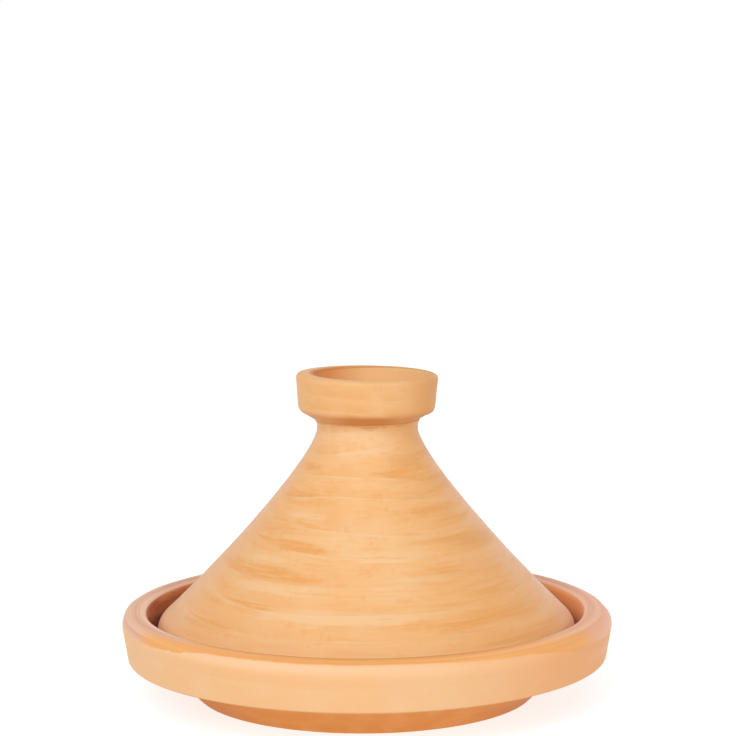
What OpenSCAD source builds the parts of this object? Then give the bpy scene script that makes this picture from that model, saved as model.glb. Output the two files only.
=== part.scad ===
// Unglazed terracotta tagine: a wide footed dish with an inner ledge, and a conical lid that stands on
// the ledge and ends in a hollow cup for a knob. Millimetres, +Z up, the origin in the middle of the
// foot's underside.

/* [Dish] */
// Diameter over the dish's rim, its widest place
rim_d = 320; // [290:1:360]
// Height of the rim above the table
dish_h = 56; // [54:0.5:66]
// Width of the rim, seen from above
rim_w = 17.5; // [14:0.5:22]
// Rounding of the rim's outer edge
rim_round = 9; // [4:0.5:12]
// Upright stretch between that rounding and the slight edge in the outer wall
rim_side = 1; // [0.5:0.5:4]
// Rounding of the rim's inner edge
lip_round = 3.5; // [1:0.5:5]
// Height of the outer wall, from its lower edge to the rim's top
band_h = 31; // [26:0.5:34]
// How much the wall's radius shrinks from the rim down to its lower edge
band_taper = 3.5; // [0.5:0.5:8]
// Rounding of the wall's lower edge
band_round = 1.5; // [0.5:0.5:4]
// Depth of the lid's ledge below the rim
ledge_depth = 27; // [22:0.5:30]
// Rounding where the ledge meets the inner wall
ledge_round = 3; // [1:0.5:4]
// Rounding of the ledge's inner edge
brow_round = 2; // [0.5:0.5:3]
// Lean of the cooking bowl's side from the vertical
bowl_lean = 48; // [38:1:56]
// Rounding where the bowl's side meets its floor
bowl_round = 25; // [10:1:28]
// Thickness of the bowl's floor
floor_t = 9; // [7:0.5:12]

/* [Foot] */
// Diameter of the foot where it stands on the table
foot_d = 220; // [212:1:232]
// Height of the foot, up to the underside of the dish
foot_h = 17; // [13:0.5:20]
// How far outside the bowl's floor the foot's side meets the underside
foot_flare = 20.5; // [16.5:0.5:24.5]
// Width of the ring that the foot stands on
foot_ring_w = 14; // [8:0.5:20]
// Depth of the hollow inside that ring
foot_hollow = 2; // [1.5:0.5:3]
// Rounding where the foot runs into the underside
foot_round = 12; // [4:1:16]
// Rounding of the foot's edges on the table
foot_edge_round = 1; // [0.5:0.5:1.5]

/* [Lid cone] */
// Gap between the lid and the dish's inner wall
lid_gap = 6; // [3:0.5:8]
// Thickness of the lid's wall
lid_wall = 8; // [6:0.5:10]
// How far the dish's ledge reaches in past the lid's seat
ledge_spare = 1; // [0.5:0.5:6]
// Height of the cone, from the ledge to the crease under the knob
cone_h = 150; // [120:1:180]
// Height of the shoulder above the ledge, where the upright skirt turns into the cone
shoulder_h = 18.5; // [16:0.5:24]
// Rounding of the shoulder
shoulder_round = 12.5; // [10.5:0.5:16]
// Lean of the cone's side from the vertical, just above the shoulder
flank_lean = 47.5; // [44:0.5:52]
// How far the side keeps that lean before it steepens
flank_pull = 24.5; // [15:0.5:40]
// Lean of the cone's side from the vertical, just below the neck
neck_lean = 13.5; // [5:0.5:20]
// How far the side keeps that steeper lean
neck_pull = 26.5; // [15:0.5:40]
// Diameter of the neck
neck_d = 65.5; // [58:0.5:74]
// Height of the neck's straight stretch
neck_h = 6.5; // [4:0.5:10]
// Rounding of the seat's outer edge
seat_round = 2; // [1:0.5:2.5]
// Rounding of the seat's inner edge
seat_inner_round = 1.5; // [1:0.5:2]

/* [Knob] */
// Diameter of the knob at its rim
knob_d = 93; // [84:0.5:104]
// Height of the knob above the crease
knob_h = 31; // [26:0.5:38]
// How much the knob's radius shrinks from its rim down to its lower edge
knob_taper = 2; // [0.5:0.5:4]
// Height of the knob's lower edge above the crease
knob_base_h = 7; // [5:0.5:9]
// Rounding of the knob's lower edge
knob_base_round = 7; // [3:0.5:8]
// Rounding of the knob's rim on the outside
knob_rim_round = 2.6; // [1:0.2:3]
// Mean thickness of the cup's wall
cup_wall = 7.5; // [6.5:0.5:10]
// How far the cup's hollow sits off the middle, as it was thrown
cup_shift = 3.5; // [0:0.5:4]
// Thickness of the cup's floor
cup_floor_t = 8; // [6:0.5:14]
// Rounding of the knob's rim on the inside
cup_lip_round = 1.2; // [0.4:0.2:1.6]
// Rounding where the cup's wall meets its floor
cup_round = 10; // [4:0.5:12]

/* [Hidden] */
$fn = 180;

// Largest turn between two points of a rounding, in degrees
arc_step = 15;
// Number of straight steps along the cone's side
flank_steps = 24;
// How far the cup's cutting shape runs out over the rim
over = 5;

// Levels above the table
ledge_z = dish_h - ledge_depth;
band_z = dish_h - band_h;
edge_z = dish_h - rim_round - rim_side;
floor_z = foot_hollow + floor_t;
shoulder_z = ledge_z + shoulder_h;
crease_z = ledge_z + cone_h;
neck_z = crease_z - neck_h;
knob_z = crease_z + knob_h;
cup_z = crease_z + cup_floor_t;

// Radii
rim_r = rim_d / 2;
well_r = rim_r - rim_w;
lid_r = well_r - lid_gap;
brow_r = lid_r - lid_wall - ledge_spare;
bowl_r = brow_r - (ledge_z - floor_z) * tan(bowl_lean);
foot_r = foot_d / 2;
foot_ring_r = foot_r - foot_ring_w;
neck_r = neck_d / 2;
knob_r = knob_d / 2;
cup_r = knob_r - cup_wall;

// The two roundings of the knob's rim share its thinnest place
thin_wall = cup_wall - cup_shift;
knob_rim_q = min(knob_rim_round, 0.65 * thin_wall);
cup_lip_q = min(cup_lip_round, 0.3 * thin_wall);

function unit(v) = v / norm(v);

function reversed(list) = [for (i = [len(list) - 1:-1:0]) list[i]];

// Points of the arc with radius q that rounds corner b on the way from a to c
function rounding(a, b, c, q) =
    let (
        u = unit(a - b),
        v = unit(c - b),
        half = acos(u * v) / 2,
        centre = b + unit(u + v) * q / sin(half),
        start = b + u * q / tan(half) - centre,
        turn = (180 - 2 * half) * sign(u.y * v.x - u.x * v.y),
        steps = max(2, ceil(abs(turn) / arc_step))
    )
    [for (i = [0:steps])
        let (t = turn * i / steps)
        centre + [start.x * cos(t) - start.y * sin(t), start.x * sin(t) + start.y * cos(t)]];

// An outline from corners [r, z, rounding]. A corner with no rounding stays sharp.
function outline(corners) = [
    for (i = [0:len(corners) - 1])
        let (p = corners[i], b = [p.x, p.y])
        each p.z == 0 ? [b]
            : let (a = corners[i - 1], c = corners[i + 1]) rounding([a.x, a.y], b, [c.x, c.y], p.z)
];

// The cone's side is one curve from the neck down to the shoulder's rounding. It leaves the neck at
// neck_lean and arrives at flank_lean.
flank_up = [-sin(flank_lean), cos(flank_lean)];
flank_top = [neck_r, neck_z];
flank_foot = [lid_r, shoulder_z] + flank_up * shoulder_round * tan(flank_lean / 2);
flank_poles = [
    flank_top,
    flank_top + neck_pull * [sin(neck_lean), -cos(neck_lean)],
    flank_foot + flank_pull * flank_up,
    flank_foot
];

// Point of that curve at t, from 0 at the neck to 1 at the shoulder
function flank_point(t) =
    let (s = 1 - t)
    s * s * s * flank_poles[0] + 3 * s * s * t * flank_poles[1]
        + 3 * s * t * t * flank_poles[2] + t * t * t * flank_poles[3];

// Direction of the curve at t
function flank_run(t) =
    let (s = 1 - t)
    unit(s * s * (flank_poles[1] - flank_poles[0]) + 2 * s * t * (flank_poles[2] - flank_poles[1])
        + t * t * (flank_poles[3] - flank_poles[2]));

// The lid's side from the neck down to its seat, moved inwards by depth
function lid_side(depth, edge_round) = concat(
    [for (i = [0:flank_steps - 1])
        let (t = i / flank_steps, run = flank_run(t), p = flank_point(t) + depth * [run.y, -run.x])
        [p.x, p.y, 0]],
    [
        [lid_r - depth, shoulder_z - depth * tan(flank_lean / 2), shoulder_round - depth],
        [lid_r - depth, ledge_z, edge_round]
    ]
);

// The dish: foot, belly, outer wall, thick rounded rim, ledge for the lid and cooking bowl, thrown and
// turned as one piece of clay
module dish()
    color("#efb888")
    rotate_extrude()
    polygon(outline([
        [0, foot_hollow, 0],
        [foot_ring_r, foot_hollow, 0],
        [foot_ring_r, 0, foot_edge_round],
        [foot_r, 0, foot_edge_round],
        [bowl_r + foot_flare, foot_h, foot_round],
        [rim_r - band_taper, band_z, band_round],
        [rim_r, edge_z, 0],
        [rim_r, dish_h, rim_round],
        [well_r, dish_h, lip_round],
        [well_r, ledge_z, ledge_round],
        [brow_r, ledge_z, brow_round],
        [bowl_r, floor_z, bowl_round],
        [0, floor_z, 0]
    ]));

// The lid's hollow cone, open at the neck, with an upright skirt whose lower edge is the seat
module lid_cone()
    color("#f2c08c")
    rotate_extrude()
    polygon(outline(concat(
        [[neck_r - lid_wall, crease_z, 0], [neck_r, crease_z, 0]],
        lid_side(0, seat_round),
        reversed(lid_side(lid_wall, seat_inner_round))
    )));

// The knob: a shallow cup luted onto the neck, which it closes
module lid_knob()
    color("#edb37c")
    difference() {
        rotate_extrude()
        polygon(outline([
            [0, crease_z, 0],
            [neck_r, crease_z, 0],
            [knob_r - knob_taper, crease_z + knob_base_h, knob_base_round],
            [knob_r, knob_z, knob_rim_q],
            [0, knob_z, 0]
        ]));
        translate([cup_shift, 0, 0])
        rotate_extrude()
        polygon(outline([
            [0, cup_z, 0],
            [cup_r, cup_z, cup_round],
            [cup_r, knob_z, cup_lip_q],
            [cup_r + over, knob_z, 0],
            [cup_r + over, knob_z + over, 0],
            [0, knob_z + over, 0]
        ]));
    }

dish();
lid_cone();
lid_knob();
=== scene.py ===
from math import acos, ceil, cos, hypot, pi, radians, sin, tan

import bpy
from mathutils import Matrix, Vector


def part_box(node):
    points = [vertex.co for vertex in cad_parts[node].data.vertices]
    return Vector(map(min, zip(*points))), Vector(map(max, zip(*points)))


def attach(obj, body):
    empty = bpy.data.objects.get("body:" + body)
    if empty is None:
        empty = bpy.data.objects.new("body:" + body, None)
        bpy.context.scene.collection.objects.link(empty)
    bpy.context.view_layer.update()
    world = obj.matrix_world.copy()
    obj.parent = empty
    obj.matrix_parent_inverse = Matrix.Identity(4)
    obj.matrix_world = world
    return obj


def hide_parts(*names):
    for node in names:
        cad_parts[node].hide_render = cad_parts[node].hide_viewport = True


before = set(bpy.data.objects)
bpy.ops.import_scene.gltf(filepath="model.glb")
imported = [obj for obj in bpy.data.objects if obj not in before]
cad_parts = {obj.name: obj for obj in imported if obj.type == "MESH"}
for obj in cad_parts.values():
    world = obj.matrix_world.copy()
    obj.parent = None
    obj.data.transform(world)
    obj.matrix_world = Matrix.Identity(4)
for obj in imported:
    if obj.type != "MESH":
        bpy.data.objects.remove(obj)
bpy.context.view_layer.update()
mm = 0.001

# ---------------------------------------------------------------------------------------------------------
# Dish. A wide, shallow dish of coarse clay, thrown in one piece with its thick rim and the ledge inside
# it. It was turned over when leather hard, so that the foot and the underside could be cut clean, and was
# fired once, without a glaze.
# ---------------------------------------------------------------------------------------------------------
dish_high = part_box("dish")[1]
rim_r = dish_high.x
rim_z = dish_high.z
seat_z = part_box("lid_cone")[0].z

rim_width = 17.5 * mm
rim_edge_z = 46 * mm
rim_round = 9 * mm
rim_rise = 0.1 * mm
lip_round = 3.5 * mm
band_z = 25 * mm
band_taper = 3.5 * mm
band_round = 1.5 * mm
ledge_width = 15 * mm
ledge_round = 3 * mm
brow_round = 2 * mm
bowl_r = 107.5 * mm
bowl_z = 11 * mm
bowl_round = 25 * mm
foot_r = 110 * mm
foot_z = 17 * mm
foot_flare = 18 * mm
foot_round = 12 * mm
foot_ring = 14 * mm
foot_hollow = 2 * mm
foot_edge = 1 * mm
well_shift = -1.2 * mm
foot_shift = -1.3 * mm
wall_tip = radians(-0.15)


def deselect():
    """Leaves edit mode and selects nothing, because an operator acts on all that is selected."""
    if bpy.context.object and bpy.context.object.mode != "OBJECT":
        bpy.ops.object.mode_set(mode="OBJECT")
    bpy.ops.object.select_all(action="DESELECT")


def begin_outline(name, r, z):
    """A new mesh of one point, in edit mode, from which an outline is drawn."""
    deselect()
    bpy.ops.mesh.primitive_plane_add(size=1)
    piece = bpy.context.object
    piece.name = piece.data.name = name
    bpy.ops.object.mode_set(mode="EDIT")
    bpy.ops.mesh.merge(type="CENTER")
    bpy.ops.transform.translate(value=(r, 0, z))
    return piece


def draw_to(here, there, step):
    """Draws on from here to there in equal pieces, each about step long, and returns there."""
    pieces = max(1, round((there - here).length / step))
    move = (there - here) / pieces
    for _ in range(pieces):
        bpy.ops.mesh.extrude_region_move(TRANSFORM_OT_translate={"value": (move.x, 0, move.y)})
    return there


def draw_corners(corners, step):
    """Draws on from the first corner to the last. Each is (r, z, rounding)."""
    here = Vector(corners[0][:2])
    for before, at, after in zip(corners, corners[1:], corners[2:] + [None]):
        corner, rounding = Vector(at[:2]), at[2]
        if not rounding:
            here = draw_to(here, corner, step)
            continue
        back = (Vector(before[:2]) - corner).normalized()
        on = (Vector(after[:2]) - corner).normalized()
        half = acos(back.dot(on)) / 2
        reach = rounding / tan(half)
        if (corner + back * reach - here).length > step / 10:
            draw_to(here, corner + back * reach, step)
        centre = corner + (back + on).normalized() * rounding / sin(half)
        turn = (pi - 2 * half) * (-1 if back.cross(on) > 0 else 1)
        steps = max(4, ceil(abs(turn) * rounding / step))
        bpy.ops.mesh.spin(steps=steps, angle=turn, center=(centre.x, 0, centre.y), axis=(0, 1, 0))
        here = corner + on * reach


def throw(turns):
    """Spins the drawn outline about the pot's axis into a closed form, and leaves edit mode. turns is
    how many steps the spin takes."""
    hair = 0.01 * mm
    bpy.ops.mesh.select_all(action="SELECT")
    bpy.ops.mesh.remove_doubles(threshold=hair)
    bpy.ops.mesh.spin(steps=turns, angle=2 * pi, center=(0, 0, 0), axis=(0, 0, 1))
    bpy.ops.mesh.select_all(action="SELECT")
    bpy.ops.mesh.remove_doubles(threshold=hair)
    bpy.ops.mesh.normals_make_consistent(inside=False)
    bpy.ops.object.mode_set(mode="OBJECT")
    bpy.ops.object.shade_smooth()


def pick(piece, where):
    """Enters edit mode with only those points selected at which the function where(r, z) is true."""
    deselect()
    piece.select_set(True)
    bpy.context.view_layer.objects.active = piece
    bpy.ops.object.mode_set(mode="EDIT")
    bpy.ops.mesh.select_mode(type="VERT")
    bpy.ops.mesh.select_all(action="DESELECT")
    bpy.ops.object.mode_set(mode="OBJECT")
    for point in piece.data.vertices:
        point.select = where(hypot(point.co.x, point.co.y), point.co.z)
    bpy.ops.object.mode_set(mode="EDIT")


def shift(piece, where, sideways, ease):
    """Moves the points where(r, z) picks. Those up to ease away from them follow less and less."""
    pick(piece, where)
    bpy.ops.transform.translate(value=(sideways, 0, 0), use_proportional_edit=True,
                                proportional_edit_falloff="LINEAR", proportional_size=ease)
    bpy.ops.object.mode_set(mode="OBJECT")


def tip(piece, where, angle, centre, ease):
    """Turns the points where(r, z) picks about a line that runs from front to back. A positive angle
    lowers the right side. With no window, the operator turns the other way."""
    pick(piece, where)
    bpy.ops.transform.rotate(value=-angle, orient_axis="Y", center_override=centre,
                             use_proportional_edit=True, proportional_edit_falloff="LINEAR",
                             proportional_size=ease)
    bpy.ops.object.mode_set(mode="OBJECT")


def press(piece, kind, wide, high, depth, where, level=1, **settings):
    """Presses a pattern up to depth into the clay, where the function where(r, z) is true. The pattern's
    units are wide metres across and high metres upwards. A level below 1 raises part of it."""
    deselect()
    bpy.ops.object.empty_add(location=(0, 0, 0))
    guide = bpy.context.object
    guide.scale = (wide, wide, high)
    pattern = bpy.data.textures.new("pattern", kind)
    for name, value in settings.items():
        setattr(pattern, name, value)
    deselect()
    piece.select_set(True)
    bpy.context.view_layer.objects.active = piece
    bpy.context.view_layer.update()
    region = piece.vertex_groups.new(name="region")
    inside = [p.index for p in piece.data.vertices if where(hypot(p.co.x, p.co.y), p.co.z)]
    region.add(inside, 1, "REPLACE")
    dent = piece.modifiers.new("dent", "DISPLACE")
    dent.vertex_group = region.name
    dent.texture = pattern
    dent.texture_coords = "OBJECT"
    dent.texture_coords_object = guide
    dent.strength = depth
    dent.mid_level = level
    bpy.ops.object.modifier_apply(modifier=dent.name)
    piece.vertex_groups.clear()
    bpy.data.objects.remove(guide)
    bpy.data.textures.remove(pattern)


well_r = rim_r - rim_width
foot_ring_r = foot_r - foot_ring
dish = begin_outline("dish_thrown", 0, foot_hollow)
draw_corners([
    (0, foot_hollow, 0),
    (foot_ring_r, foot_hollow, 0),
    (foot_ring_r, 0, foot_edge),
    (foot_r, 0, foot_edge),
    (foot_r + foot_flare, foot_z, foot_round),
    (rim_r - band_taper, band_z, band_round),
    (rim_r, rim_edge_z, 0),
    (rim_r, rim_z - rim_rise, rim_round),
    (well_r, rim_z, lip_round),
    (well_r, seat_z, ledge_round),
    (well_r - ledge_width, seat_z, brow_round),
    (bowl_r, bowl_z, bowl_round),
    (0, bowl_z, 0),
], step=1.6 * mm)
throw(turns=240)

bowl_low = 8 * mm
bowl_slant = 103 * mm
bowl_mouth_r = 130 * mm
well_low = 28 * mm
lip_outer_r = 147 * mm
rim_low = 50 * mm
foot_high = 10 * mm


def dish_inside(r, z):
    """The cooking bowl, and the well above it up to its lip."""
    bowl = z > bowl_low and r - z < bowl_slant
    well = z > well_low and r < lip_outer_r
    return bowl or well


def dish_outside(r, z):
    return z > foot_edge + 2 * mm and not dish_inside(r, z)


def on_rim(r, z):
    return z > rim_low


def in_bowl(r, z):
    return r < bowl_mouth_r and dish_inside(r, z)


def on_foot(r, z):
    return z < foot_high and not dish_inside(r, z)


def wall_edge(r, z):
    return r > bowl_mouth_r and z < band_z + 2 * mm


def under_foot(r, z):
    return r < foot_ring_r - 2 * mm and z < foot_hollow + 2 * mm


# A pattern this tall doesn't change on its way up the dish.
upright = 5
press(dish, "CLOUDS", 160 * mm, 160 * mm, 0.25 * mm, dish_outside, noise_scale=1)
press(dish, "CLOUDS", 200 * mm, 6 * mm, 0.1 * mm, dish_outside, noise_scale=1)
press(dish, "WOOD", 12.5 * mm, upright, 0.3 * mm, on_rim, wood_type="RINGNOISE", turbulence=3, noise_scale=3)
press(dish, "WOOD", 30 * mm, upright, 0.5 * mm, in_bowl, wood_type="RINGNOISE", turbulence=3, noise_scale=2)
press(dish, "WOOD", 12 * mm, upright, 0.25 * mm, under_foot, wood_type="RINGNOISE", turbulence=2,
      noise_scale=2)
shift(dish, dish_inside, well_shift, ease=5 * mm)
shift(dish, on_foot, foot_shift, ease=5 * mm)
tip(dish, wall_edge, wall_tip, centre=(0, 0, band_z), ease=10 * mm)
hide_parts("dish")
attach(dish, "dish")


class Nodes:
    """Adds shader nodes to one material or world, and joins them."""

    def __init__(self, owner, shader="Principled BSDF"):
        owner.use_nodes = True
        self.owner = owner
        self.tree = owner.node_tree
        self.shader = self.tree.nodes[shader]

    def join(self, socket, value):
        """Gives a socket either a value or another node's output."""
        if isinstance(value, bpy.types.NodeSocket):
            self.tree.links.new(value, socket)
        else:
            socket.default_value = value

    def add(self, kind, inputs, output=0, **settings):
        """A new node's output. inputs maps a socket's name or number to what it is given."""
        node = self.tree.nodes.new(kind)
        for name, value in settings.items():
            setattr(node, name, value)
        for socket, value in inputs.items():
            self.join(node.inputs[socket], value)
        return node.outputs[output]

    def math(self, operation, *values):
        return self.add("ShaderNodeMath", dict(enumerate(values)), operation=operation)

    def ramp(self, value, low, high, to_low=0.0, to_high=1.0):
        """value taken smoothly from low..high to to_low..to_high, and no further."""
        inputs = {"Value": value, 1: low, 2: high, 3: to_low, 4: to_high}
        return self.add("ShaderNodeMapRange", inputs, interpolation_type="SMOOTHSTEP")

    def mix(self, share, a, b):
        """Colour a where share is 0, and colour b where it is 1."""
        return self.add("ShaderNodeMix", {0: share, 6: a, 7: b}, 2, data_type="RGBA")


class Clay(Nodes):
    """Unglazed earthenware with the marks of the wheel. Holds the place on the pot as x, y, z and r."""

    grit_colour = (1, 0.82, 0.6, 1)
    sheen_colour = (1.0, 0.86, 0.8, 1)

    def __init__(self, name, seed):
        super().__init__(bpy.data.materials.new(name))
        self.seed = seed
        self.place = self.add("ShaderNodeTexCoord", {}, "Object")
        apart = self.add("ShaderNodeSeparateXYZ", {0: self.place}).node
        self.x, self.y, self.z = apart.outputs
        self.r = self.radius(0)
        flat = self.add("ShaderNodeCombineXYZ", {0: self.x, 1: self.y})
        self.heading = self.add("ShaderNodeVectorMath", {0: flat}, operation="NORMALIZE")

    def radius(self, sideways):
        """The distance from an upright line that stands sideways metres to the right of the middle."""
        flat = self.add("ShaderNodeCombineXYZ", {0: self.math("SUBTRACT", self.x, sideways), 1: self.y})
        return self.add("ShaderNodeVectorMath", {0: flat}, "Value", operation="LENGTH")

    def ahead(self):
        """1 at the pot's front, 0 at its sides and -1 at its back."""
        return self.math("DIVIDE", self.math("MULTIPLY", self.y, -1), self.r)

    def across(self):
        """1 at the pot's right, 0 in the middle and -1 at its left."""
        return self.math("DIVIDE", self.x, self.r)

    def both(self, *shares):
        """The product of two or more shares."""
        total = shares[0]
        for share in shares[1:]:
            total = self.math("MULTIPLY", total, share)
        return total

    def tint(self, share, colour):
        """Turns a share of the clay to another colour."""
        self.colour = self.mix(share, self.colour, colour)

    def rings(self, pitch, around, detail, rough=0.5):
        """Noise drawn out round the pot. Its cells are pitch metres high, and there are around of them
        to the radian."""
        self.seed += 7.3
        aim = self.add("ShaderNodeVectorMath", {0: self.heading, "Scale": around}, operation="SCALE")
        rise = self.add("ShaderNodeCombineXYZ", {2: self.math("MULTIPLY_ADD", self.z, 1 / pitch, self.seed)})
        point = self.add("ShaderNodeVectorMath", {0: aim, 1: rise}, operation="ADD")
        across = self.math("DIVIDE", self.r, pitch)
        inputs = {"Vector": point, "W": across, "Scale": 1.0, "Detail": detail, "Roughness": rough}
        return self.add("ShaderNodeTexNoise", inputs, noise_dimensions="4D")

    def grain(self, size, detail, rough=0.5):
        """Noise with cells of size metres in every direction."""
        inputs = {"Vector": self.place, "Scale": 1 / size, "Detail": detail, "Roughness": rough}
        return self.add("ShaderNodeTexNoise", inputs)

    def specks(self, apart, size, share):
        """Specks of size metres, apart metres from one another, in only a share of the places."""
        inputs = {"Vector": self.place, "Scale": 1 / apart}
        cell = self.add("ShaderNodeTexVoronoi", inputs).node
        lot = self.add("ShaderNodeSeparateColor", {0: cell.outputs["Color"]})
        near = self.ramp(cell.outputs["Distance"], size / apart, 0.4 * size / apart)
        return self.math("MULTIPLY", near, self.math("LESS_THAN", lot, share))

    def turn(self):
        """How far round the pot the place is, in turns to the right of the front."""
        angle = self.math("ARCTAN2", self.x, self.math("MULTIPLY", self.y, -1))
        return self.math("MULTIPLY", angle, 0.5 / pi)

    def laps(self, pitch):
        """Rises from 0 to 1 up each lap of the spiral that the fingers left, and starts again."""
        sway = self.math("MULTIPLY", self.rings(36 * mm, 0.35, 1), 2.6)
        climb = self.math("MULTIPLY_ADD", self.z, 1 / pitch, self.turn())
        return self.math("FRACT", self.math("ADD", climb, sway))

    def smears(self, places, streaks):
        """Long smears round the pot. Each place is its heading in degrees to the right of the front, its
        height in mm and half its own height in mm, and a smear is longer round the pot the higher it is."""
        degrees_per_mm = 7
        ragged = self.math("MULTIPLY_ADD", self.grain(9 * mm, 2), 30, -15)
        heading = self.math("MULTIPLY_ADD", self.turn(), 360, ragged)
        round_pot = self.math("MULTIPLY", heading, 1 / degrees_per_mm)
        up = self.math("MULTIPLY_ADD", self.z, 1 / mm, self.math("MULTIPLY_ADD", streaks, 5, -2.5))
        point = self.add("ShaderNodeCombineXYZ", {0: round_pot, 1: up})
        total = 0.0
        for turned, height, size in places:
            inputs = {0: point, 1: (turned / degrees_per_mm, height, 0)}
            apart = self.add("ShaderNodeVectorMath", inputs, "Value", operation="DISTANCE")
            total = self.math("ADD", total, self.ramp(apart, 1.3 * size, 0.6 * size))
        return self.math("MINIMUM", total, 1)

    def build(self, body, deep, pale, bands, streaks, ridges, deep_places=(), pale_places=()):
        """Lays out the wheel marks, smears, mottling and grit, with a painted highlight along the fingers'
        ridges.
        bands, streaks and ridges are how strongly the broad bands, the fine streaks and the fingers' ridges
        show.
        Smears lie at the places."""
        streak = self.rings(2.2 * mm, 5, 3, 0.6)
        hair = self.rings(0.8 * mm, 9, 2, 0.6)
        lap = self.laps(13.5 * mm)
        lip = self.ramp(lap, 0, 0.07)
        fresh = self.both(lip, self.ramp(lap, 0.85, 0.2))
        patch = self.ramp(self.rings(34 * mm, 2.2, 2), 0.42, 0.6, 0.12, 1)
        smear = self.both(fresh, patch)
        if deep_places:
            behind = self.ramp(self.y, -20 * mm, 10 * mm, 0.35, 1)
            placed = self.smears(deep_places, streak)
            fading = self.math("MULTIPLY_ADD", fresh, 0.5, 0.5)
            broken = self.ramp(streak, 0.58, 0.42, 0.45, 1)
            smear = self.math("MULTIPLY_ADD", smear, behind, self.both(placed, fading, broken))
        smear = self.math("MINIMUM", smear, 1)
        fine = self.grain(0.9 * mm, 2, 0.7)
        grit = self.specks(6 * mm, 0.45 * mm, 0.3)
        self.colour = self.mix(self.ramp(self.grain(28 * mm, 3), 0.4, 0.7, 0, 0.45), body, pale)
        self.tint(self.ramp(self.grain(7 * mm, 2), 0.55, 0.8, 0, 0.4), deep)
        if pale_places:
            self.tint(self.both(self.smears(pale_places, streak), 0.8), pale)
        self.tint(self.both(smear, bands), deep)
        self.tint(self.ramp(streak, 0.5, 0.8, 0, streaks), pale)
        self.tint(self.ramp(streak, 0.5, 0.22, 0, streaks), deep)
        # The top of each finger ridge is painted pale: a painted highlight along the ridge, besides its
        # relief.
        ridge_highlight = self.both(self.ramp(lap, 0.88, 0.97), self.ramp(self.rings(20 * mm, 3, 2), 0.4, 0.6))
        self.tint(self.both(ridge_highlight, 0.6 * ridges), pale)
        self.tint(self.both(grit, 0.6), self.grit_colour)
        height = self.math("MULTIPLY_ADD", hair, 0.2, self.math("MULTIPLY", streak, 0.8 * streaks))
        height = self.math("MULTIPLY_ADD", self.both(lip, self.ramp(lap, 1, 0.1)), -0.5 * ridges, height)
        height = self.math("MULTIPLY_ADD", fine, 0.25, height)
        self.height = self.math("MULTIPLY_ADD", grit, 0.3, height)
        self.rough = self.ramp(smear, 0, 1, 0.62, 0.5)

    def finish(self, piece, sheen):
        """Joins the colour and the relief to the shader, and gives the material to a piece."""
        bump = self.add("ShaderNodeBump", {"Height": self.height, "Strength": 0.7, "Distance": 0.4 * mm})
        self.join(self.shader.inputs["Normal"], bump)
        self.join(self.shader.inputs["Base Color"], self.colour)
        self.join(self.shader.inputs["Roughness"], self.rough)
        self.join(self.shader.inputs["IOR"], 1.5)
        self.join(self.shader.inputs["Sheen Weight"], sheen)
        self.join(self.shader.inputs["Sheen Roughness"], 0.3)
        self.join(self.shader.inputs["Sheen Tint"], self.sheen_colour)
        piece.data.materials.clear()
        piece.data.materials.append(self.owner)


dish_body = (0.945, 0.52, 0.24, 1)
dish_deep = (0.92, 0.475, 0.195, 1)
dish_pale = (0.96, 0.57, 0.315, 1)
clay = Clay("dish_clay", seed=3)
clay.build(dish_body, dish_deep, dish_pale, bands=0.4, streaks=0.2, ridges=0.3)
ahead = clay.ahead()
across = clay.across()
inner = clay.radius(well_shift)
slant = clay.math("SUBTRACT", inner, clay.z)
bowl_side = clay.both(clay.ramp(slant, bowl_slant + 1 * mm, bowl_slant - 2 * mm),
                      clay.ramp(clay.z, 5 * mm, 7 * mm), clay.ramp(clay.z, 30.5 * mm, 30 * mm))
well_side = clay.both(clay.ramp(clay.z, well_low - 1 * mm, well_low + 0.5 * mm),
                      clay.ramp(inner, well_r + 1 * mm, well_r + 0.4 * mm))
within = clay.math("MAXIMUM", bowl_side, well_side)
without = clay.math("SUBTRACT", 1, within)

# The wall is painted a deeper orange at the right, as painted shade. The top of the rim was wiped with a wet
# leather, and the wiped clay is orange. In front this orange is partly a painted reflection of the lid;
# elsewhere the top is painted rose, a painted reflection of the white surroundings. Its lower edge is sharp
# and high in front and soft behind.
rim_line_back = 49 * mm
rim_line_front = 54.2 * mm
rim_deep = (0.91, 0.385, 0.095, 1)
rim_pale = (0.98, 0.465, 0.14, 1)
reflection_rose_deep = (0.76, 0.37, 0.20, 1)
reflection_rose_mid = (0.93, 0.56, 0.37, 1)
reflection_rose_pale = (0.97, 0.66, 0.50, 1)
reflection_rose_warm = (0.93, 0.41, 0.21, 1)
rim_back_darker = (0.60, 0.25, 0.13, 1)
wall_painted_shade = (0.95, 0.395, 0.14, 1)
wall_painted_highlight = (1.0, 0.64, 0.40, 1)
rim_line = clay.math("SUBTRACT", clay.ramp(ahead, 0.55, 0.8, rim_line_back, rim_line_front),
                     clay.ramp(across, 0.2, 0.6, 0, 1.8 * mm))
wander = clay.math("SUBTRACT", clay.rings(5 * mm, 9, 4, 0.7), 0.5)
height = clay.math("MULTIPLY_ADD", wander, clay.ramp(ahead, 0.55, 0.85, 10 * mm, 1.5 * mm), clay.z)
level = clay.math("SUBTRACT", height, rim_line)
soft = clay.ramp(ahead, 0.15, 0.45, 2.5 * mm, 0.15 * mm)
rim_top = clay.both(clay.ramp(clay.math("DIVIDE", level, soft), -1, 1), without)
# A painted highlight on the rim's rounding, strongest at the left.
shoulder_highlight = clay.both(clay.ramp(level, 0, -0.6 * mm), clay.ramp(clay.z, 47 * mm, 52 * mm), without,
                 clay.ramp(clay.x, 90 * mm, -60 * mm, 0.1, 0.5))
lines = clay.rings(3.4 * mm, 0.7, 2)
rim_clay_and_reflection = clay.mix(clay.ramp(lines, 0.4, 0.6), rim_deep, rim_pale)
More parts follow.
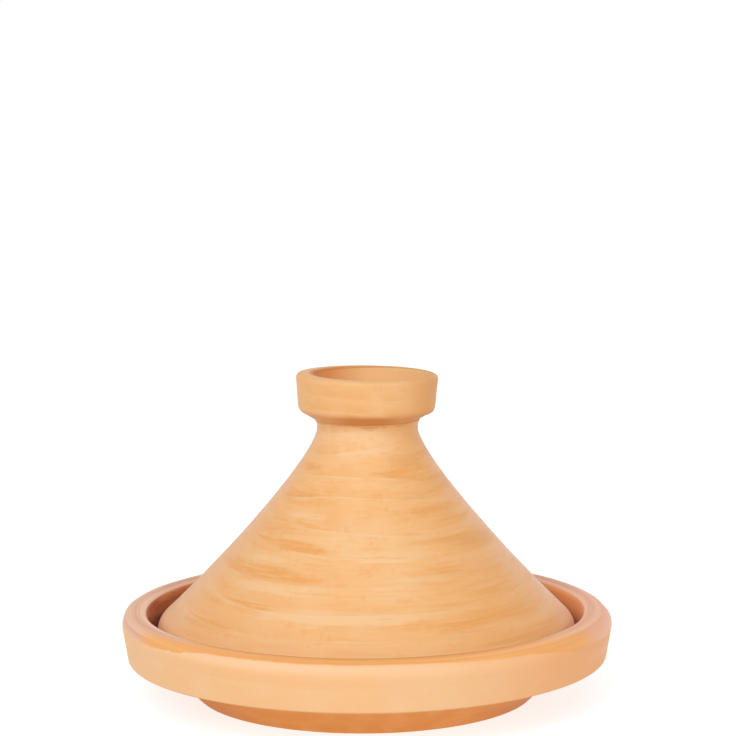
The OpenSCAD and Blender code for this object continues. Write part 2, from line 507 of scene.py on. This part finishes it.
# Painted reflection of the white surroundings: rose on the rim's top away from the front.
rose_reflection = clay.mix(clay.ramp(lines, 0.38, 0.62), reflection_rose_deep, reflection_rose_mid)
rose_reflection = clay.mix(clay.ramp(clay.rings(1.3 * mm, 1.2, 2, 0.6), 0.5, 0.75, 0, 0.6), rose_reflection, reflection_rose_pale)
warm = clay.both(clay.ramp(across, 0.3, 0.95), clay.ramp(inner, 151 * mm, 157 * mm, 0.35, 0.75))
rose_reflection = clay.mix(warm, rose_reflection, reflection_rose_warm)
nearer = clay.math("SUBTRACT", ahead, clay.ramp(inner, 156 * mm, 148 * mm, 0, 0.22))
# The front keeps the orange, which is partly a painted reflection of the lid.
rim_clay_and_reflection = clay.mix(clay.ramp(nearer, 0.55, 0.38), rim_clay_and_reflection, rose_reflection)
# The rim's top is darker at the back towards the lip.
behind = clay.ramp(ahead, -0.1, -0.5)
rim_clay_and_reflection = clay.mix(clay.both(behind, clay.ramp(inner, 153 * mm, 146 * mm, 0.2, 0.8)), rim_clay_and_reflection, rim_back_darker)
# Painted shade: the wall's right side turned a deeper orange.
clay.tint(clay.ramp(across, 0.3, 0.95, 0, 0.8), wall_painted_shade)
clay.tint(clay.both(rim_top, 0.95), rim_clay_and_reflection)
clay.tint(shoulder_highlight, wall_painted_highlight)

# The lip round the well: a painted highlight along it at the sides, and a line of painted shade in front,
# where it meets the lid.
lip_low = 53 * mm
lip_high = 54.5 * mm
lip_painted_highlight = (1.0, 0.68, 0.50, 1)
lip_painted_shade = (0.68, 0.25, 0.03, 1)
lip_top = clay.ramp(clay.z, lip_low, lip_high)
# Painted highlight along the lip at the sides.
lip_highlight = clay.both(clay.ramp(inner, 146 * mm, 144.5 * mm), lip_top, clay.ramp(ahead, 0.9, 0.5, 0, 0.6))
clay.tint(lip_highlight, lip_painted_highlight)
# Painted shade: a dark line on the lip in front, where it meets the lid.
lid_gap_shade = clay.both(clay.ramp(inner, 148 * mm, 146 * mm), lip_top, clay.ramp(ahead, 0.5, 0.8, 0, 0.75))
clay.tint(lid_gap_shade, lip_painted_shade)

# The well and the bowl: a redder clay than the outside, and darker partly as painted shade, most of all down
# by the ledge; painted light along the lip and on the right.
bowl_deep = (0.50, 0.14, 0.045, 1)
bowl_pale = (0.78, 0.33, 0.14, 1)
bowl_painted_light = (0.82, 0.37, 0.14, 1)
bowl_floor = (0.88, 0.43, 0.18, 1)
well_painted_shade = (0.24, 0.05, 0.02, 1)
well_painted_light = (0.95, 0.46, 0.20, 1)
well_clay_light_and_shade = clay.mix(clay.ramp(clay.rings(5 * mm, 3, 3), 0.35, 0.65), bowl_deep, bowl_pale)
# Painted light on the right side of the well and bowl.
well_clay_light_and_shade = clay.mix(clay.ramp(clay.x, 0, 100 * mm, 0, 0.7), well_clay_light_and_shade, bowl_painted_light)
well_clay_light_and_shade = clay.mix(clay.ramp(inner, 128 * mm, 116 * mm, 0, 0.6), well_clay_light_and_shade, bowl_floor)
# Painted shade, darkest low in the well by the ledge.
well_shade = clay.both(clay.ramp(clay.z, 52 * mm, 34 * mm), clay.ramp(inner, 127 * mm, 138 * mm),
                clay.ramp(clay.x, 0, 100 * mm, 0.75, 0.4), clay.ramp(across, 0.8, 0.95, 1, 0.4))
well_clay_light_and_shade = clay.mix(well_shade, well_clay_light_and_shade, well_painted_shade)
# Painted light along the lip and on the far right of the well's wall.
lip_light_line = clay.both(clay.ramp(clay.z, 50.3 * mm, 51.5 * mm), clay.ramp(across, 0.1, 0.6))
right_wall_light = clay.both(clay.ramp(across, 0.82, 0.95, 0, 0.8), clay.ramp(clay.z, 36 * mm, 46 * mm))
well_clay_light_and_shade = clay.mix(clay.math("MAXIMUM", lip_light_line, right_wall_light), well_clay_light_and_shade, well_painted_light)
clay.tint(within, well_clay_light_and_shade)

# The foot and the belly, cut with a tool: rougher than the wall and a deeper orange, with painted shade at
# the sides and underneath.
cut_deep = (0.90, 0.345, 0.08, 1)
cut_pale = (0.94, 0.385, 0.108, 1)
cut_painted_shade = (0.75, 0.255, 0.068, 1)
below = clay.both(clay.ramp(clay.z, band_z + 0.4 * mm, band_z - 0.1 * mm), without)
cut = clay.mix(clay.ramp(clay.grain(16 * mm, 3), 0.4, 0.65), cut_deep, cut_pale)
# Painted shade at the sides of the foot and beneath it.
shade_sides_and_under = clay.math("MAXIMUM", clay.ramp(ahead, 0.95, 0.5, 0, 0.8),
                        clay.ramp(clay.r, foot_r - 2 * mm, foot_r - 12 * mm, 0, 0.8))
cut = clay.mix(shade_sides_and_under, cut, cut_painted_shade)
clay.tint(below, cut)
clay.rough = clay.math("SUBTRACT", clay.rough, clay.both(rim_top, 0.14))
clay.rough = clay.math("MULTIPLY_ADD", below, 0.35, clay.rough)
clay.height = clay.math("ADD", clay.both(lines, rim_top), clay.height)
clay.finish(dish, sheen=0.15)

# ---------------------------------------------------------------------------------------------------------
# Lid cone. The hollow cone of the lid, thrown upright from its wide mouth to its narrow neck, so the
# fingers left broad rings all the way up. Its lower edge stands loose on the dish's ledge.
# ---------------------------------------------------------------------------------------------------------
cone_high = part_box("lid_cone")[1]
lid_r = cone_high.x
crease_z = cone_high.z

lid_wall = 8 * mm
shoulder_z = 47.5 * mm
shoulder_round = 12.5 * mm
flank_lean = radians(47.5)
flank_pull = 24.5 * mm
neck_r = 32.75 * mm
neck_height = 6.5 * mm
neck_lean = radians(13.5)
neck_pull = 26.5 * mm
seat_round = 2 * mm
seat_inner_round = 1.5 * mm
slip_out = 1.8 * mm
slip_up = 1 * mm
slip_down = 2.5 * mm
slip_round = 5 * mm
slip_edge_round = 0.5 * mm
lid_lean = 0.011
lid_shift = -0.7 * mm

up_flank = Vector((-sin(flank_lean), cos(flank_lean)))
flank_top = Vector((neck_r, crease_z - neck_height))
flank_foot = Vector((lid_r, shoulder_z)) + up_flank * shoulder_round * tan(flank_lean / 2)
flank_poles = [
    flank_top,
    flank_top + neck_pull * Vector((sin(neck_lean), -cos(neck_lean))),
    flank_foot + flank_pull * up_flank,
    flank_foot,
]


def flank(t, depth):
    """Point t of the cone's side, from 0 at the neck to 1 at the shoulder, depth inside its surface."""
    a, b, c, d = flank_poles
    s = 1 - t
    point = s**3 * a + 3 * s * s * t * b + 3 * s * t * t * c + t**3 * d
    run = (s * s * (b - a) + 2 * s * t * (c - b) + t * t * (d - c)).normalized()
    return point + depth * Vector((run.y, -run.x))


def draw_flank(steps, depth, upwards):
    """Draws the cone's side in this many straight steps, from wherever the outline has got to."""
    undivided = 1
    here = flank(1.0 if upwards else 0.0, depth)
    for k in range(1, steps + 1):
        t = 1 - k / steps if upwards else k / steps
        here = draw_to(here, flank(t, depth), undivided)


cone = begin_outline("lid_cone_thrown", neck_r - lid_wall, crease_z)
draw_corners([
    (neck_r - lid_wall, crease_z, 0),
    (neck_r + slip_out, crease_z + slip_up, slip_edge_round),
    (neck_r, crease_z - slip_down, slip_round),
    tuple(flank_top) + (0,),
], step=1.2 * mm)
draw_flank(steps=112, depth=0, upwards=False)
inner_r = lid_r - lid_wall
inner_foot = flank(1, lid_wall)
inner_top = flank(0, lid_wall)
draw_corners([
    tuple(flank_foot) + (0,),
    (lid_r, shoulder_z, shoulder_round),
    (lid_r, seat_z, seat_round),
    (inner_r, seat_z, seat_inner_round),
    (inner_r, shoulder_z - lid_wall * tan(flank_lean / 2), shoulder_round - lid_wall),
    tuple(inner_foot) + (0,),
], step=1.5 * mm)
draw_flank(steps=96, depth=lid_wall, upwards=True)
draw_to(inner_top, Vector((neck_r - lid_wall, crease_z)), step=2 * mm)
throw(turns=240)

marks_low = 33 * mm
marks_high = 176 * mm


def on_flank(r, z):
    return marks_low < z < marks_high


def lean(piece, sideways):
    """Leans a piece of the lid to the right from its seat up, and shifts it sideways."""
    from_seat = Matrix.Translation((0, 0, -seat_z))
    to_seat = Matrix.Translation((sideways, 0, seat_z))
    piece.data.transform(to_seat @ Matrix.Shear("XY", 4, (lid_lean, 0)) @ from_seat)


press(cone, "CLOUDS", 150 * mm, 150 * mm, 0.5 * mm, on_flank, level=0.5, noise_scale=1)
press(cone, "CLOUDS", 150 * mm, 12 * mm, 0.35 * mm, on_flank, level=0.5, noise_scale=1)
lean(cone, lid_shift)
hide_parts("lid_cone")
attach(cone, "lid")

cone_body = (0.92, 0.505, 0.205, 1)
cone_deep = (0.84, 0.36, 0.085, 1)
cone_pale = (0.93, 0.59, 0.31, 1)
deep_places = [(-46, 134, 4), (-50, 117.5, 4), (-46, 107, 3.8), (-49, 91.5, 4.2), (-54, 73, 3),
               (-58, 60, 2.5), (-60, 152, 2.5), (47, 148, 5.5), (47, 128, 4), (60, 111, 3.5), (54, 95, 5),
               (56, 83, 4.5), (60, 67, 6.5), (85, 160, 4)]
# The first pale place, on the neck in front, is a painted highlight.
pale_places = [(-4, 169, 9), (-48, 168, 4), (-36, 125, 2), (-44, 99.5, 1.6), (-38, 84, 2.5), (10, 104, 3),
               (30, 92, 2.5), (-10, 72, 4)]
clay = Clay("cone_clay", seed=50)
clay.build(cone_body, cone_deep, cone_pale, bands=0.85, streaks=0.42, ridges=1.0,
           deep_places=deep_places, pale_places=pale_places)

# The sides are painted a deeper orange than the front, most at the right, as painted shade, with a thin pink
# painted sheen where they are outermost.
side_painted_shade = (0.84, 0.385, 0.10, 1)
sheen_painted_pink = (0.95, 0.54, 0.34, 1)
across = clay.across()
# Painted shade on the sides, strongest at the right.
aside = clay.math("ADD", clay.ramp(across, 0.1, 0.8, 0, 0.5), clay.ramp(across, -0.35, -0.9, 0, 0.15))
clay.tint(aside, side_painted_shade)
# Painted sheen: pale pink at the outermost sides.
painted_sheen = clay.math("ADD", clay.ramp(across, 0.84, 0.99, 0, 0.4), clay.ramp(across, -0.84, -0.99, 0, 0.3))
clay.tint(clay.both(painted_sheen, clay.ramp(clay.rings(24 * mm, 2, 3), 0.3, 0.6, 0.4, 1)), sheen_painted_pink)

# The slip that holds the knob, with a ragged edge that hangs lower in front. Its brown is partly the slip's
# own colour and partly painted shade under the knob.
slip_and_shade_brown = (0.74, 0.33, 0.10, 1)
slip_edge_z = 181.2 * mm
drip_x = 2 * mm
drip_width = 14 * mm
from_drip = clay.math("ABSOLUTE", clay.math("SUBTRACT", clay.x, drip_x))
drip = clay.both(clay.ramp(from_drip, drip_width, 0), clay.ramp(clay.y, 0, -10 * mm))
ragged = clay.math("MULTIPLY_ADD", clay.rings(4 * mm, 5, 3, 0.6), 7 * mm, clay.z)
slip_height = clay.math("MULTIPLY_ADD", drip, 2 * mm, ragged)
slip_and_shade = clay.ramp(slip_height, slip_edge_z, slip_edge_z + 1.8 * mm)
clay.tint(clay.both(slip_and_shade, 0.8), slip_and_shade_brown)

# Faint bands on the right side, deep and pale by turns.
band_deep = (0.77, 0.32, 0.08, 1)
band_pale = (0.94, 0.56, 0.31, 1)
bands = clay.rings(8 * mm, 0.8, 3, 0.6)
banded = clay.both(clay.ramp(across, 0.15, 0.6), clay.ramp(slip_and_shade, 0.5, 0))
clay.tint(clay.both(banded, clay.ramp(bands, 0.5, 0.62, 0, 0.4)), band_deep)
below_neck = clay.ramp(clay.z, 160 * mm, 145 * mm)
clay.tint(clay.both(banded, clay.ramp(bands, 0.5, 0.38, 0, 0.22), below_neck), band_pale)
clay.finish(cone, sheen=0.6)

# ---------------------------------------------------------------------------------------------------------
# Lid knob. A small cup thrown on top of the finished cone and luted to its neck with slip, so the lid can
# be lifted by its rim. The hollow came out a little off the middle.
# ---------------------------------------------------------------------------------------------------------
knob_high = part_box("lid_knob")[1]
knob_r = knob_high.x
knob_z = knob_high.z

knob_taper = 2 * mm
knob_base = 7 * mm
knob_base_round = 7 * mm
knob_rim_round = 2.6 * mm
cup_wall = 7.5 * mm
cup_shift = 3.5 * mm
cup_floor = 8 * mm
cup_round = 10 * mm
cup_lip_round = 1.2 * mm
knob_shift = lid_shift - 0.3 * mm
knob_tip = radians(1.05)

knob = begin_outline("lid_knob_thrown", 0, crease_z)
cup_r = knob_r - cup_wall
cup_z = crease_z + cup_floor
draw_corners([
    (0, crease_z, 0),
    (neck_r, crease_z, 0),
    (knob_r - knob_taper, crease_z + knob_base, knob_base_round),
    (knob_r, knob_z, knob_rim_round),
    (cup_r, knob_z, cup_lip_round),
    (cup_r, cup_z, cup_round),
    (0, cup_z, 0),
], step=0.7 * mm)
throw(turns=200)
spare = 0.1 * mm
clear = 2 * mm


def in_cup(r, z):
    return r < cup_r + cup_lip_round + spare and z > cup_z - spare


def knob_wall(r, z):
    return crease_z + clear < z < knob_z - clear and r > cup_r + clear


def knob_top(r, z):
    return z > crease_z + knob_base


press(knob, "CLOUDS", 50 * mm, 50 * mm, 0.4 * mm, knob_wall, level=0.4, noise_scale=1)
press(knob, "CLOUDS", 80 * mm, 5 * mm, 0.2 * mm, knob_wall, level=0.4, noise_scale=1)
shift(knob, in_cup, cup_shift, ease=knob_r - knob_rim_round - cup_r - cup_lip_round)
tip(knob, knob_top, knob_tip, centre=(-knob_r, 0, knob_z), ease=4 * mm)
lean(knob, knob_shift)
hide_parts("lid_knob")
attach(knob, "lid")

knob_body = (0.89, 0.47, 0.185, 1)
knob_deep = (0.82, 0.38, 0.11, 1)
knob_pale = (0.92, 0.54, 0.25, 1)
knob_side_painted_shade = (0.80, 0.34, 0.085, 1)
joint_and_shade_brown = (0.66, 0.26, 0.065, 1)
cup_painted_shade = (0.80, 0.36, 0.13, 1)
cup_painted_light = (0.90, 0.60, 0.29, 1)
cup_lip_painted_shade = (0.62, 0.24, 0.05, 1)
joint_and_shade_low = 186 * mm
joint_and_shade_high = 190.5 * mm
hollow_r = 39.5 * mm
lip_r = 40 * mm
clay = Clay("knob_clay", seed=90)
clay.build(knob_body, knob_deep, knob_pale, bands=0.6, streaks=0.38, ridges=0.4)
# Painted shade: the knob's right side turned a deeper orange.
clay.tint(clay.ramp(clay.x, 15 * mm, 45 * mm, 0, 0.7), knob_side_painted_shade)
# The slip joint's brown and painted shade under the knob's lower rounding, as one band, strongest in the
# middle.
joint_and_shade_height = clay.math("MULTIPLY_ADD", clay.rings(6 * mm, 3, 3), 4 * mm, clay.z)
aside = clay.math("ABSOLUTE", clay.x)
joint_and_shade = clay.both(clay.ramp(joint_and_shade_height, joint_and_shade_high, joint_and_shade_low), clay.ramp(aside, 8 * mm, 26 * mm, 1, 0.5))
clay.tint(joint_and_shade, joint_and_shade_brown)
from_cup = clay.radius(cup_shift)
hollow = clay.both(clay.ramp(from_cup, hollow_r + 1 * mm, hollow_r), clay.ramp(clay.z, cup_z - 1 * mm, cup_z))
# Inside the cup: painted shade at the left and painted light towards the right.
clay.tint(hollow, clay.mix(clay.ramp(clay.x, -30 * mm, 5 * mm), cup_painted_shade, cup_painted_light))
# A line of painted shade along the inner edge of the cup's lip.
lip = clay.both(clay.ramp(from_cup, lip_r + 1 * mm, lip_r),
                clay.ramp(clay.z, knob_z - 2.5 * mm, knob_z - 1.5 * mm))
clay.tint(clay.both(lip, 0.75), cup_lip_painted_shade)
clay.finish(knob, sheen=0.15)

# ---------------------------------------------------------------------------------------------------------
# Studio. A pale floor and white surroundings, one large soft lamp in front and to the left, and a weaker
# one to the right. Both the floor and the surroundings give less light than they seem to.
# ---------------------------------------------------------------------------------------------------------
deselect()
bpy.ops.mesh.primitive_plane_add(size=12, location=(0, 0, 0))
floor = bpy.context.object
floor.name = "studio_floor"


def seen_directly(nodes):
    """1 where the camera sees a surface itself, in a gloss or through a clear body, and 0 for its light."""
    rays = nodes.tree.nodes.new("ShaderNodeLightPath").outputs
    direct = nodes.math("MAXIMUM", rays["Is Camera Ray"], rays["Is Glossy Ray"])
    return nodes.math("MAXIMUM", direct, rays["Is Transmission Ray"])


white = (1, 1, 1, 1)
floor_grey = (0.39, 0.47, 0.5, 1)
floor_light = 0.46
floor_shown = 0.745
paint = Nodes(bpy.data.materials.new("studio_floor"))
paint.join(paint.shader.inputs["Base Color"], floor_grey)
paint.join(paint.shader.inputs["Roughness"], 0.8)
paint.join(paint.shader.inputs["Specular IOR Level"], 0.1)
glow = paint.math("MULTIPLY_ADD", seen_directly(paint), floor_shown - floor_light, floor_light)
paint.join(paint.shader.inputs["Emission Color"], white)
paint.join(paint.shader.inputs["Emission Strength"], glow)
floor.data.materials.append(paint.owner)

wall_light = 0.62
wall_shown = 1.0
world = bpy.data.worlds.new("studio")
bpy.context.scene.world = world
walls = Nodes(world, "Background")
glow = walls.math("MULTIPLY_ADD", seen_directly(walls), wall_shown - wall_light, wall_light)
walls.join(walls.shader.inputs["Color"], white)
walls.join(walls.shader.inputs["Strength"], glow)


def lamp(name, place, aim, size, power):
    """A square soft lamp, size metres wide, that points from its place at aim."""
    bpy.ops.object.light_add(type="AREA", location=place)
    light = bpy.context.object
    light.name = name
    light.data.size = size
    light.data.energy = power
    light.rotation_euler = (Vector(aim) - Vector(place)).to_track_quat("-Z", "Y").to_euler()


middle = (0, 0, 0.1)
lamp("key_lamp", (-0.7, -1.65, 1.3), middle, size=1.2, power=15.2)
lamp("fill_lamp", (1.6, -1.6, 0.9), middle, size=1.0, power=5.5)

# ---------------------------------------------------------------------------------------------------------
# Camera. It stands 1.54 m in front of the pot and 0.4 m above the floor, and looks down a little. It is
# rolled by a fraction of a degree.
# ---------------------------------------------------------------------------------------------------------
frame_pixels = 736
focal_pixels = 2392.6
sensor_width = 36
camera_back = 1539.7 * mm
camera_up = 398.7 * mm
camera_right = 2.45 * mm
camera_pitch = radians(6.893)
camera_roll = radians(0.3)
bpy.ops.object.camera_add(location=(camera_right, -camera_back, camera_up))
camera = bpy.context.object
camera.rotation_euler = (pi / 2 - camera_pitch, camera_roll, 0)
camera.data.sensor_width = sensor_width
camera.data.lens = sensor_width * focal_pixels / frame_pixels
bpy.context.scene.camera = camera
bpy.context.scene.view_settings.view_transform = "Standard"
